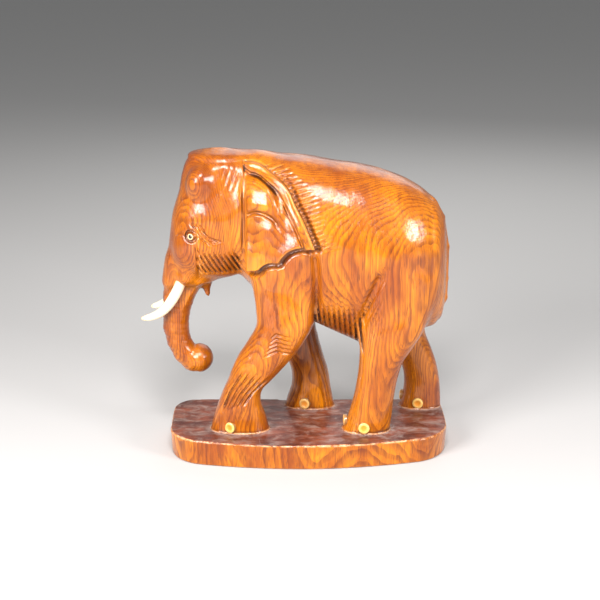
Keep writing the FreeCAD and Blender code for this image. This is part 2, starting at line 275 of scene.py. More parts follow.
# Legs, along z: (z, x centre, side centre, half length, half width)
FORE_LEFT = spline([
    (22, -64, -31, 28, 16),
    (27, -64, -31.2, 27, 16),
    (38, -63.8, -32, 24.3, 16.2),
    (52, -63.6, -33, 19.8, 16.6),
    (64, -60.5, -33, 18.4, 16.8),
    (73, -54.5, -33, 20.4, 17.4),
    (84, -47.5, -33, 23.6, 18),
    (94, -40.8, -33, 25.6, 18.6),
    (109, -31, -33, 26.4, 19.2),
    (126, -22.3, -32.5, 26.3, 19.8),
    (140, -21.5, -31, 27.2, 20),
    (160, -22, -28, 29.5, 20.5),
    (185, -24, -24, 30, 20),
    (205, -26, -18, 24, 16),
])
FORE_RIGHT = spline([
    (22, 1, 29.5, 24.5, 14.4),
    (30, 1.3, 30.2, 22.6, 14.5),
    (44, 2.2, 31.5, 19, 15),
    (58, 1.2, 33, 18, 16),
    (73, -3.2, 33, 18.2, 17),
    (96, -10, 33, 19, 18),
    (120, -16, 32, 22.5, 19.4),
    (160, -22, 28, 29.5, 20.5),
    (185, -24, 24, 30, 20),
    (205, -26, 18, 24, 16),
])
HIND_LEFT = spline([
    (22, 53, -31, 22.3, 16),
    (38, 57, -32, 20.2, 16),
    (56, 60, -33, 18.6, 16.4),
    (76, 63.3, -33, 18.8, 17),
    (90, 66, -33, 20.3, 18),
    (104, 70.5, -32.5, 24.6, 19.2),
    (118, 75, -32, 28.8, 20.3),
    (132, 78, -30, 31, 21),
    (150, 81, -27, 32, 21.5),
    (172, 82, -23, 30, 20),
    (192, 82, -16, 24, 15),
])
HIND_RIGHT = spline([
    (22, 108.3, 29.5, 19.8, 14.4),
    (34, 109.8, 31, 18, 14.4),
    (52, 109.6, 33, 16.4, 15),
    (66, 106.5, 33, 16.5, 15.4),
    (79, 102, 33, 16.8, 16),
    (100, 93, 33, 18.6, 17.6),
    (120, 88, 32, 25.5, 20),
    (134, 84, 30, 29.5, 21),
    (150, 83, 27, 31, 21.5),
    (172, 82, 23, 30, 20),
    (192, 82, 16, 24, 15),
])
LEGS = (FORE_LEFT, FORE_RIGHT, HIND_LEFT, HIND_RIGHT)
TAIL = [
    (102, 0, 240, 4.0),
    (120, 0, 218, 4.4),
    (125.4, 0, 190, 4.1),
    (125.3, 0, 160, 4.2),
    (123.6, 0, 142, 5.4),
    (120, 0, 127, 3.2),
]


# ---------------------------------------------------------------- the ears

# Outline of an ear in the side plane (x, z)
EAR_REAR = [
    (-60, 275),
    (-50, 275),
    (-41, 273),
    (-33, 267),
    (-24, 261),
    (-16.6, 253),
    (-10.8, 240),
    (-2.5, 224.6),
    (6.7, 201.4),
]
EAR_FOOT = [
    (-1, 201),
    (-8, 201.5),
    (-17, 198.5),
    (-23.3, 192),
    (-26.9, 186),
    (-34, 187),
    (-41, 183),
    (-45, 177.5),
    (-58, 176.5),
]
EAR_ROOT = [(-58, 198), (-57, 236)]
EAR_OUTLINE = rounded_line(EAR_REAR[1:], 1) + rounded_line(EAR_FOOT, 1) + EAR_ROOT + [EAR_REAR[0]]
EAR_RIM = rounded_line(EAR_REAR[1:])
UPPER_CRESCENT = rounded_line([(-58, 262), (-48, 263), (-39, 260), (-32, 253.5), (-26.5, 243), (-26, 234)])
LOWER_CRESCENT = rounded_line([(-57, 227), (-48, 232.5), (-39, 231), (-30.5, 225.5), (-27, 217)])
EAR_THICK = 15.0
RIM_HEIGHT = 2.0
# How far the body lies under an ear, and how deep the cut round the ear goes
EAR_BED = 7.0
UNDERCUT = 2.8


def ear_surface(x, z):
    """How far out from the middle plane the ear's outer face stands."""
    # a leaf that stands out more to the rear, bowed and drawn in at its top
    back = x + 58.0
    up = z - 178.0
    face = 38.0 + 0.35 * back - 0.00022 * up * up * (1.0 + 0.006 * back) - 0.035 * up
    face = face - 17.0 * smooth_step(236.0, 292.0, z)
    # its foot curls out
    face = face + 4.0 * smooth_step(216.0, 190.0, z) * smooth_step(2.0, -20.0, x)
    # two swollen lobes with a hollow behind them
    upper_lobe = np.exp(-(((x + 44) / 13.0) ** 4) - ((z - 247) / 15.0) ** 4)
    lower_lobe = np.exp(-(((x + 38) / 15.0) ** 2) - ((z - 213) / 16.0) ** 2)
    hollow = np.exp(-(((x + 20) / 8.0) ** 2) - ((z - 236) / 22.0) ** 2)
    return face + 4.5 * upper_lobe + 3.4 * lower_lobe - 3.0 * hollow


def carved_ear_surface(x, z, edge):
    """The ear's face with its raised rim, the two furrows beside it and the two crescent cuts."""
    face = ear_surface(x, z)
    rim, _ = polyline_distance(x, z, EAR_RIM)
    face = face + RIM_HEIGHT * smooth_step(10.0, 8.2, rim) * smooth_step(-1.0, 2.0, -edge)
    face = face - 0.9 * hump(rim, 5.0, 3.2) - 2.0 * hump(rim, 10.6, 2.4)
    face = face - 3.2 * groove_line(x, z, UPPER_CRESCENT, 3.4)
    return face - 3.0 * groove_line(x, z, LOWER_CRESCENT, 3.2)


def ears(x, side, z):
    """Both ears, as leaves, and how much deeper the body lies round and under them."""
    edge = inside_polygon(x, z, EAR_OUTLINE)
    face = carved_ear_surface(x, z, edge)
    outer = side - face
    inner = face - EAR_THICK - side
    wall = edge + 1.2
    undercut = UNDERCUT * hump(edge, 1.0, 5.0) * smooth_step(26.0, 32.0, side) * smooth_step(-64.0, -58.0, x)
    undercut = undercut + EAR_BED * smooth_step(0.0, -5.0, edge)
    return join_max(join_max(outer, wall, 2.0), inner, 1.0), undercut


# ---------------------------------------------------------------- the plinth

PLINTH_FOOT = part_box("elephant_carving")[0][2] / MM
PLINTH_TOP = 24.0
PLINTH_HALF_X = 129.6
PLINTH_HALF_Y = 59.6
PLINTH_LEAN = math.tan(math.radians(3.0))
NEAR_CORNER = 30.0
FAR_CORNER = 22.0
# The worn rim: how deep the corner is cut at 45 degrees, and how deep a chip goes
RIM_CUT = 0.9
RIM_CHIP = 1.5
DIAGONAL = 0.7071


def plinth(x, y, z):
    """The thick oblong foot: rounder corners on the left, a wall that leans out, a worn rim."""
    lean = (z - PLINTH_TOP) * PLINTH_LEAN
    left = y < 0
    corner = np.where(left, NEAR_CORNER, FAR_CORNER)
    half_x = PLINTH_HALF_X + lean + 0.6 * wobble(x * 0, y, z, 40, SEED + 1)
    # the long walls bow, the left one more
    bow = np.where(left, 0.0013 * (x + 10.0) ** 2, 0.0001 * x * x)
    half_y = PLINTH_HALF_Y + lean - bow
    qx = np.abs(x) - (half_x - corner)
    qy = np.abs(y) - (half_y - corner)
    wall = np.hypot(np.maximum(qx, 0.0), np.maximum(qy, 0.0)) + np.minimum(np.maximum(qx, qy), 0.0)
    wall = wall - corner + 0.5 * wobble(x, y, z * 0.25, 9, SEED + 2)
    chips = RIM_CHIP * smooth_step(0.5, 1.0, wobble(x, y, z, 6.5, SEED + 3))
    top = z - PLINTH_TOP + 0.35 * wobble(x, y, z, 14, SEED + 4) + 0.3
    rim = join_max(wall, top, 1.2)
    rim = np.maximum(rim, (wall + top) * DIAGONAL + RIM_CUT + chips)
    return join_max(rim, PLINTH_FOOT - z, 1.5)


# ---------------------------------------------------------------- the whole field

def head_and_trunk(x, mid, side, z):
    """The head with its brow lobes, cheeks and temples, the trunk, the tusk sleeves and the lip."""
    p_mid = (x, mid, z)
    p_side = (x, side, z)
    head = limb(z, x, mid, HEAD, power=2.2, cap=4.0)
    brow = egg(p_side, (-96, 23, 255), (13, 13, 15))
    cheek = egg(p_side, (-94, 22, 194), (26, 13, 22))
    temple_hollow = egg(p_side, (-76, 45, 256), (17, 13, 24))
    jaw = egg(p_side, (-76, 10, 180), (22, 15, 15))
    head = join(head, brow, 6.0)
    head = join(head, cheek, 10.0)
    head = carve(head, temple_hollow, 12.0)
    head = join(head, jaw, 10.0)
    # the trunk is a little flat from side to side
    trunk = np.maximum(bead_chain(p_mid, TRUNK), side - 13.5 + 0.02 * (z - 90))
    head = join(head, trunk, 7.0)
    head = join(head, bead_chain(p_side, SHEATH), 4.5)
    return join(head, bead_chain(p_mid, LIP), 4.0)


def leg(x, mid, z, table):
    """One leg."""
    return limb(z, x, mid, table, power=2.25, cap=2.0)


def sculpture(x, y, z):
    """Distance to the whole carving; y is the frame's own, in millimetres."""
    mid = y - STANCE
    side = np.abs(mid)
    p_mid = (x, mid, z)
    torso = limb(x, mid, z, TORSO, power=2.35, cap=5.0)
    withers = egg(p_mid, (-50, 0, 258), (26, 17, 20))
    body = join(torso, head_and_trunk(x, mid, side, z), 7.0)
    body = join(body, withers, 12.0)
    for table in LEGS:
        body = join(body, leg(x, mid, z, table), 9.0)
    body = join(body, bead_chain(p_mid, TAIL), 2.2)
    leaf, undercut = ears(x, side, z)
    body = body + gouge_marks(x, mid, side, z) + undercut
    body = join(body, leaf + ear_marks(x, mid, z), 1.2)
    return join(body, plinth(x, y, z), 2.2)


def gouge_marks(x, mid, side, z):
    """Every cut the carver left in the surface, as depth."""
    wander = 0.8 * wobble(x, mid, z, 26, SEED + 5)
    depth = head_cuts(x, side, z, wander)
    depth += body_cuts(x, side, z, wander)
    depth += leg_cuts(x, mid, z)
    # rings round the trunk
    rings = groove_set(z + 0.15 * x, 5.5, wander, 2.2) * smooth_step(152, 140, z) * smooth_step(78, 92, z)
    depth += 0.25 * rings * smooth_step(-100, -108, x)
    # flat facets of the chisel all over
    depth += 0.45 * np.abs(wobble(x, mid, z * 0.6, 7.5, SEED + 6)) + 0.5 * wobble(x, mid, z, 24, SEED + 7)
    return depth


def head_cuts(x, side, z, wander):
    """The cuts on the head: eyelids, eye rim, jaw, the trunk's crease and the temple."""
    depth = np.zeros_like(x)
    # the eyelids: three cuts that wrap the front of the eye and run back
    lid = smooth_step(14, 20, side)
    for shift in (0.0, 3.2, 6.4):
        front = [(-106 + shift, 220), (-101.5 + shift, 216), (-98 + shift, 208)]
        tail_end = (-88 + 1.6 * shift, 200 + 0.5 * shift)
        depth += 1.9 * lid * groove_line(x, z, rounded_line(front + [tail_end]), 1.7)
    # the dark rim cut round each eye
    eye_gap = np.hypot(x - EYE_SPOT[0], z - EYE_SPOT[1])
    depth += 2.2 * hump(eye_gap, 4.6, 2.0) * lid
    # slanting cuts over the jaw
    zone = smooth_step(171, 176, z) * smooth_step(199, 190, z + 0.12 * (x + 98)) * smooth_step(-103, -97, x)
    zone = zone * smooth_step(-58, -64, x) * smooth_step(6, 12, side)
    depth += 2.4 * zone * groove_set(x + 0.55 * (z - 182), 4.5, wander)
    # the crease between trunk and cheek
    crease = groove_line(x, z, [(-101, 202), (-100.5, 188), (-99.5, 168)], 2.4)
    depth += 1.8 * smooth_step(8, 14, side) * crease
    # steep cuts on the temple
    zone = hump(z, 260, 15) * hump(x, -70, 13)
    depth += 1.3 * zone * groove_set(x - 0.35 * z, 5.2, wander) * smooth_step(12, 18, side)
    return depth


def body_cuts(x, side, z, wander):
    """The cuts on the body: neck, belly, flank, the valleys beside the legs, and round the tail."""
    depth = np.zeros_like(x)
    # neck, behind the ear: fine cuts that turn from slanted to level
    behind = x + 0.62 * (z - 199) - 6.5 - 8.0 * hump(z, 245, 32)
    zone = smooth_step(-4, 0, behind) * smooth_step(24, 9, behind)
    zone = zone * smooth_step(196, 204, z) * smooth_step(276, 268, z)
    depth += 1.3 * zone * groove_set(z * 0.95 - 0.28 * x, 3.9, wander) * smooth_step(16, 24, side)
    # belly: upright cuts that fade upwards
    zone = smooth_step(160, 134, z) * smooth_step(94, 104, z)
    zone = zone * smooth_step(2, 8, x) * smooth_step(53, 47, x) * smooth_step(16, 26, side)
    depth += 2.0 * zone * groove_set(x + 0.12 * z, 4.6, wander)
    # flank, before the thigh: slanting cuts
    zone = hump(z, 146, 26) * hump(x, 57, 12) * smooth_step(24, 32, side)
    depth += 1.8 * zone * groove_set(x - 0.45 * z, 4.6, wander)
    # the valley behind the shoulder and the one before the thigh
    back_of_shoulder = rounded_line([(4, 200), (6.5, 178), (7.0, 156), (5.5, 136)])
    depth += 5.0 * groove_line(x, z, back_of_shoulder, 6.5) * smooth_step(22, 32, side)
    front_of_thigh = rounded_line([(66, 180), (57, 160), (50, 140), (46, 122)])
    depth += 4.6 * groove_line(x, z, front_of_thigh, 7.5) * smooth_step(22, 32, side)
    # the cuts that leave the tail standing out of the rump
    zone = smooth_step(104, 112, x) * smooth_step(122, 130, z) * smooth_step(244, 232, z)
    depth += 1.8 * hump(side, 7.5, 3.2) * zone
    return depth


def leg_cuts(x, mid, z):
    """The cuts on the left fore leg: strokes down its shin and wrinkles over its knee."""
    depth = np.zeros_like(x)
    for shift in (0, 5, 10, 15, 20):
        line = [(-58 + shift, 88 - 0.5 * shift), (-72 + shift, 64), (-80 + 0.9 * shift, 44 + 0.3 * shift)]
        depth += 2.1 * groove_line(x, z, line, 1.8) * smooth_step(-28, -37, mid)
    for shift in (0, 4, 8, 12, 16):
        line = [(-42 + 0.4 * shift, 100 + shift), (-30, 106 + shift), (-16, 102 + shift)]
        depth += 1.6 * groove_line(x, z, line, 1.8) * smooth_step(0, -10, mid)
    return depth


def ear_marks(x, mid, z):
    """The shallower facets on the ears."""
    return 0.3 * np.abs(wobble(x, mid, z * 0.6, 7.5, SEED + 8))


# ---------------------------------------------------------------- meshing

# How far the grid reaches past the CAD carving
MARGIN = 3.0


def placed(name, data):
    """An object in the scene that shows this data."""
    piece = bpy.data.objects.new(name, data)
    bpy.context.scene.collection.objects.link(piece)
    return piece


def evaluate(points):
    """The field at rows of points, in parts that the threads share."""
    parts = np.array_split(points, max(1, len(points) // BATCH))
    with ThreadPoolExecutor(THREADS) as pool:
        done = pool.map(lambda q: sculpture(q[:, 0], q[:, 1], q[:, 2]).astype(np.float32), parts)
    return np.concatenate(list(done))


def field_grid():
    """The field on a fine grid, worked out only near the surface, and the grid's low corner."""
    low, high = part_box("elephant_carving")
    low = [v / MM - MARGIN for v in low]
    high = [v / MM + MARGIN for v in high]
    step = VOXEL * BLOCK
    counts = [int(math.ceil((high[i] - low[i]) / step)) for i in range(3)]
    axes = [low[i] + (np.arange(counts[i]) + 0.5) * step for i in range(3)]
    centres = np.stack(np.meshgrid(*axes, indexing="ij"), -1).reshape(-1, 3).astype(np.float32)
    coarse = evaluate(centres)
    fine = np.repeat(np.clip(coarse, -FAR, FAR), BLOCK**3).reshape(-1, BLOCK, BLOCK, BLOCK)
    # a block may hold surface when its centre is nearer than half its diagonal, with room to spare
    near_enough = step * 0.87 * 1.5 + 2.0
    close = np.nonzero(np.abs(coarse) < near_enough)[0]
    offsets = (np.stack(np.meshgrid(*[np.arange(BLOCK)] * 3, indexing="ij"), -1) + 0.5) * VOXEL - step / 2
    offsets = offsets.reshape(-1, 3).astype(np.float32)
    points = (centres[close][:, None, :] + offsets[None]).reshape(-1, 3)
    fine[close] = np.clip(evaluate(points), -FAR, FAR).reshape(-1, BLOCK, BLOCK, BLOCK)
    fine = fine.reshape(*counts, BLOCK, BLOCK, BLOCK).transpose(0, 3, 1, 4, 2, 5)
    return np.ascontiguousarray(fine.reshape([c * BLOCK for c in counts])), low


def mesh_of(name, points, quads):
    """A smooth-shaded mesh object from arrays, its points in millimetres."""
    mesh = bpy.data.meshes.new(name)
    mesh.vertices.add(len(points))
    mesh.vertices.foreach_set("co", (points * MM).astype(np.float32).ravel())
    mesh.loops.add(len(quads) * 4)
    mesh.loops.foreach_set("vertex_index", quads.astype(np.int32).ravel())
    mesh.polygons.add(len(quads))
    mesh.polygons.foreach_set("loop_start", np.arange(0, len(quads) * 4, 4, dtype=np.int32))
    mesh.polygons.foreach_set("use_smooth", np.ones(len(quads), bool))
    mesh.update(calc_edges=True)
    mesh.validate()
    return placed(name, mesh)


def carving():
    """The carving as one mesh."""
    field, low = field_grid()
    grid = openvdb.FloatGrid(FAR)
    grid.copyFromArray(field)
    points, quads = grid.convertToQuads(isovalue=0.0)
    points = points * VOXEL + np.array(low) + VOXEL / 2
    return mesh_of("carving", points, quads)


def store(piece, name, values):
    """Keeps one number per vertex on the mesh for the material to read."""
    layer = piece.data.attributes.new(name, "FLOAT", "POINT")
    layer.data.foreach_set("value", np.clip(values, 0.0, 1.0).astype(np.float32))


def surface_of(piece):
    """A mesh's points, in millimetres, and its normals."""
    points = np.empty(len(piece.data.vertices) * 3, np.float32)
    normals = np.empty_like(points)
    piece.data.vertices.foreach_get("co", points)
    piece.data.vertex_normals.foreach_get("vector", normals)
    return points.reshape(-1, 3) / MM, normals.reshape(-1, 3)


# Reach of the probes that feel for wide and for fine hollows
WIDE = 5.0
FINE = 1.6
# Larger than any distance from the plinth's top to a foot that matters
FAR_AWAY = 99.0


def mark_surface(piece):
    """Where the surface is hollow, where it is an edge, and which parts are the plinth's top and rim."""
    points, normals = surface_of(piece)
    hollow_wide = (WIDE - evaluate(points + normals * WIDE)) / WIDE
    hollow_fine = (FINE - evaluate(points + normals * FINE)) / FINE
    edge = (FINE + evaluate(points - normals * FINE)) / FINE
    # hollow: how deep a point sits in a hollow or cut; the wood's colour is darkened by it as painted shade
    store(piece, "hollow", 0.75 * np.clip(hollow_wide, 0, 1) + 0.6 * np.clip(hollow_fine, 0, 1))
    # edge: how sharp a ridge is; the wood's colour is lightened by it, partly as lacquer worn thin and partly
    # as a painted highlight
    store(piece, "edge", edge)
    x, y, z = points.T
    up = normals[:, 2]
    over = z - PLINTH_TOP
    on_top = smooth_step(2.2, 1.0, over) * smooth_step(-2.5, -1.0, over)
    store(piece, "plinth_top", on_top * smooth_step(0.55, 0.85, up))
    near_top = smooth_step(-2.6, -1.2, over) * smooth_step(0.8, 0.2, over)
    store(piece, "rim", near_top * smooth_step(0.9, 0.75, up) * smooth_step(-0.1, 0.25, up))
    feet = np.full_like(x, FAR_AWAY)
    for table in LEGS:
        feet = np.minimum(feet, leg(x, y - STANCE, np.full_like(z, PLINTH_TOP + 4.0), table))
    store(piece, "by_foot", on_top * smooth_step(9.0, 1.0, feet))


# ---------------------------------------------------------------- inlays and tusks

def solid_of(name, mesh):
    """An object from a finished bmesh, its faces turned outwards."""
    bmesh.ops.recalc_face_normals(mesh, faces=mesh.faces)
    data = bpy.data.meshes.new(name)
    mesh.to_mesh(data)
    mesh.free()
    return placed(name, data)


def lathe(name, profile, centre, outwards, turns=56):
    """A turned piece: profile is (radius, height) from the middle of its face to its back."""
    mesh = bmesh.new()
    turn = Vector((0, 0, 1)).rotation_difference(Vector(outwards)).to_matrix().to_4x4()
    place = Matrix.Translation(Vector(centre)) @ turn
    radial = mesh.verts.layers.float.new("radial")
    widest = max(r for r, _ in profile)
    rings = []
    for r, up in profile:
        if r == 0:
            ring = [mesh.verts.new(place @ Vector((0, 0, up)))]
        else:
            ring = []
            for i in range(turns):
                bend = 2 * math.pi * i / turns
                ring.append(mesh.verts.new(place @ Vector((r * math.cos(bend), r * math.sin(bend), up))))
        for vert in ring:
            vert[radial] = r / widest
        rings.append(ring)
    for a, b in zip(rings[:-1], rings[1:]):
        for i in range(turns):
            j = (i + 1) % turns
            # a ring that is a single point makes triangles, so its repeated corner is dropped
            corners = [a[i % len(a)], b[i % len(b)], b[j % len(b)], a[j % len(a)]]
            corners = list(dict.fromkeys(corners))
            mesh.faces.new(corners).smooth = True
    return solid_of(name, mesh)


def curve_profile(points):
    """A soft line through profile points, for a turned piece."""
    return rounded_line(points, 3)


def cad_corners(name):
    """The corners of a CAD inlay's mesh, in metres."""
    return np.array([vert.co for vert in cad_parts[name].data.vertices])


# How far in front of and behind an inlay the field is felt, to tell which way is out of the wood
PROBE = 9 * MM


def facing(name):
    """Middle of a CAD inlay, in metres, and the way it faces: its short axis, away from the wood."""
    low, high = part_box(name)
    middle = (np.array(low) + np.array(high)) / 2
    axis = np.linalg.svd(cad_corners(name) - middle, full_matrices=False)[2][2]
    probes = np.array([middle + axis * PROBE, middle - axis * PROBE]) / MM
    ahead, behind = evaluate(probes)
    return middle, axis if ahead > behind else -axis


def radius_of(name):
    """Radius of a round CAD inlay: half of its height."""
    low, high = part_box(name)
    return (high[2] - low[2]) / 2


def thickness_of(name, axis):
    """Thickness of a CAD inlay along its own axis."""
    along = cad_corners(name) @ axis
    return float(along.max() - along.min())


def toenail(name, number):
    """A round horn inlay, a little domed, with a worn dimple in its middle."""
    middle, axis = facing(name)
    r, thick = radius_of(name), thickness_of(name, axis)
    face, back = thick / 2, -thick / 2
    profile = curve_profile([
        (0, face - 0.55 * MM),
        (r * 0.34, face - 0.45 * MM),
        (r * 0.62, face + 0.1 * MM),
        (r * 0.9, face - 0.1 * MM),
        (r, face - 0.9 * MM),
        (r, back),
    ])
    piece = lathe(name.replace("toenail", "nail"), profile + [(0, back)], middle, axis)
    finish_piece(piece, name, horn_material(number))


def eye(side):
    """The pale disc of one eye, with a shallow ring round it, and its dark domed pupil."""
    disc_name, dot_name = "eye_" + side, "pupil_" + side
    eye_disc(disc_name, radius_of(dot_name) + 0.03 * MM)
    eye_dot(dot_name)


def eye_disc(name, hole):
    """The pale disc, with a hole of this radius for the pupil."""
    middle, axis = facing(name)
    r, face = radius_of(name), thickness_of(name, axis) / 2
    inside = [
        (hole, face - 1.0 * MM),
        (hole, face - 0.12 * MM),
        (hole + 0.15 * MM, face + 0.05 * MM),
    ]
    outside = curve_profile([
        (r * 0.78, face + 0.05 * MM),
        (r * 0.93, face - 0.05 * MM),
        (r, face - 0.5 * MM),
    ])
    disc = lathe(name + "_disc", inside + outside + [(r, -face), (0, -face)], middle, axis)
    finish_piece(disc, name, eye_material())


def eye_dot(name):
    """The pupil, a low dome."""
    middle, axis = facing(name)
    r, face = radius_of(name), thickness_of(name, axis) / 2
    dome = [
        (0, face + 0.25 * MM),
        (r * 0.6, face + 0.2 * MM),
        (r, face - 0.15 * MM),
        (r, -face),
    ]
    dot = lathe(name + "_dot", curve_profile(dome) + [(0, -face)], middle, axis)
    finish_piece(dot, name, pupil_material())


# Left tusk: (x, side, z, radius), from inside its socket to the tip
TUSK = [
    (-113.6, 16.0, 168.5, 4.5),
    (-116.5, 16.4, 162.5, 4.7),
    (-120.5, 17.0, 153.5, 4.85),
    (-125.4, 17.9, 144.8, 4.8),
    (-131.0, 19.0, 137.4, 4.5),
    (-137.6, 20.2, 132.2, 4.1),
    (-144.6, 21.4, 129.4, 3.4),
    (-149.8, 22.2, 128.5, 2.6),
    (-153.0, 22.7, 128.2, 1.5),
]


TUSK_STEPS = 80
TUSK_TURNS = 40
# How far the right tusk's tip lies from the left one's mirror image, and how soon it bends away
RIGHT_TIP_SHIFT = Vector((4.5, 0.0, -2.5))
RIGHT_TIP_POWER = 1.5


def tusk_line(side):
    """Points along the middle of one tusk, with side in place of Y, and the radius at each."""
    _, values = spline([(i,) + row for i, row in enumerate(TUSK)], TUSK_STEPS)
    points = [Vector((row[0], row[1], row[2])) for row in values]
    if side == "right":
        shares = [(i / (TUSK_STEPS - 1)) ** RIGHT_TIP_POWER for i in range(TUSK_STEPS)]
        points = [point + RIGHT_TIP_SHIFT * share for point, share in zip(points, shares)]
    return points, [row[3] for row in values]


def tusk(side, sign):
    """One tusk: a curved tapering horn, a little flat from side to side, with a blunt tip."""
    mesh = bmesh.new()
    along = mesh.verts.layers.float.new("along")
    points, radii = tusk_line(side)
    last = TUSK_STEPS - 1

    def corner(spot, share):
        vert = mesh.verts.new(Vector((spot.x, STANCE + sign * spot.y, spot.z)) * MM)
        vert[along] = share
        return vert

    rings = []
    for i, (point, radius) in enumerate(zip(points, radii)):
        way = (points[min(i + 1, last)] - points[max(i - 1, 0)]).normalized()
        left = way.cross(Vector((0, 1, 0))).normalized()
        up = way.cross(left)
        ring = []
        for k in range(TUSK_TURNS):
            bend = 2 * math.pi * k / TUSK_TURNS
            spot = point + left * math.cos(bend) * radius + up * math.sin(bend) * radius * 0.94
            ring.append(corner(spot, i / last))
        rings.append(ring)
    tip = points[-1] + (points[-1] - points[-2]).normalized() * 1.0
    for end, ring, share in ((tip, rings[-1], 1.0), (points[0], rings[0], 0.0)):
        cap = corner(end, share)
        for k in range(TUSK_TURNS):
            mesh.faces.new([ring[k], ring[(k + 1) % TUSK_TURNS], cap]).smooth = True
    for a, b in zip(rings[:-1], rings[1:]):
        for k in range(TUSK_TURNS):
            j = (k + 1) % TUSK_TURNS
            mesh.faces.new([a[k], a[j], b[j], b[k]]).smooth = True
    piece = solid_of("tusk_horn_" + side, mesh)
    finish_piece(piece, "tusk_" + side, tusk_material())


def finish_piece(piece, node, material):
    """Puts a finished piece in the place of its CAD node."""
    piece.data.materials.append(material)
    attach(piece, BODY)
    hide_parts(node)


# ---------------------------------------------------------------- materials

class Nodes:
    """Short names for building a material's nodes."""

    def __init__(self, name):
        self.material = bpy.data.materials.new(name)
        self.material.use_nodes = True
        self.tree = self.material.node_tree
        self.shader = self.tree.nodes["Principled BSDF"]

    def add(self, kind, inputs=None, **settings):
        """A new node with its settings and inputs."""
        node = self.tree.nodes.new("ShaderNode" + kind)
        for key, value in settings.items():
            setattr(node, key, value)
        for key, value in (inputs or {}).items():
            self.put(node.inputs[key], value)
        return node

    def put(self, socket, value):
        """Links a socket to an input, or sets the input to a plain value."""
        if isinstance(value, bpy.types.NodeSocket):
            self.tree.links.new(value, socket)
        else:
            socket.default_value = value

    def place(self):
        """Place on the object, in metres."""
        return self.add("TexCoord").outputs["Object"]

    def stretch(self, vector, scale):
        """A place scaled along each axis."""
        return self.add("VectorMath", {0: vector, 1: scale}, operation="MULTIPLY").outputs[0]

    def noise(self, vector, scale, detail=3.0, rough=0.5, distortion=0.0):
        """Cloudy noise about 0.5."""
        inputs = {"Vector": vector, "Scale": scale, "Detail": detail}
        inputs.update({"Roughness": rough, "Distortion": distortion})
        return self.add("TexNoise", inputs).outputs["Fac"]

    def math(self, operation, a, b=0.0, clamp=False):
        """One sum with two values."""
        return self.add("Math", {0: a, 1: b}, operation=operation, use_clamp=clamp).outputs[0]

    def ramp(self, value, low, high):
        """0 at low and 1 at high, smooth between."""
        inputs = {"Value": value, "From Min": low, "From Max": high}
        return self.add("MapRange", inputs, interpolation_type="SMOOTHSTEP").outputs["Result"]

    def mix(self, share, a, b):
        """Colour a, with this share of it replaced by colour b."""
        node = self.add("Mix", data_type="RGBA")
        self.put(node.inputs["Factor"], share)
        self.put(node.inputs["A"], a)
        self.put(node.inputs["B"], b)
        return node.outputs["Result"]

    def mark(self, name):
        """A number kept on the mesh."""
        return self.add("Attribute", attribute_name=name).outputs["Fac"]

    def bump(self, height, distance, strength=1.0, normal=None):
        """A surface direction bent by a height."""
        inputs = {"Height": height, "Distance": distance, "Strength": strength}
        node = self.add("Bump", inputs)
        if normal is not None:
            self.put(node.inputs["Normal"], normal)
        return node.outputs["Normal"]

    def set(self, **sockets):
        """Sets or links the shader's own inputs, with _ for a space in a name."""
        for key, value in sockets.items():
            self.put(self.shader.inputs[key.replace("_", " ")], value)


def rgb(red, green, blue):
    """An opaque colour, in linear light."""
    return (red, green, blue, 1.0)


# Where the tree's middle stood, in metres, and the gap between its year rings
PITH = (0.012, 0.125, 0.0)
RING_GAP = 0.0017


def ring_distance(n, place):
    """Distance from the pith, bent by slow noise so that the rings wander."""
    slow = n.noise(n.stretch(place, (9.0, 9.0, 5.0)), 1.0, 2.0)
    slow_b = n.noise(n.stretch(place, (26.0, 26.0, 11.0)), 1.0, 3.0)
    flat = n.add("VectorMath", {0: place, 1: PITH}, operation="SUBTRACT").outputs[0]
    flat = n.stretch(flat, (1.0, 1.0, 0.05))
    reach = n.add("VectorMath", {0: flat}, operation="LENGTH").outputs["Value"]
    bent = n.math("ADD", reach, n.math("MULTIPLY", slow, 0.030))
    return n.math("ADD", bent, n.math("MULTIPLY", slow_b, 0.007))


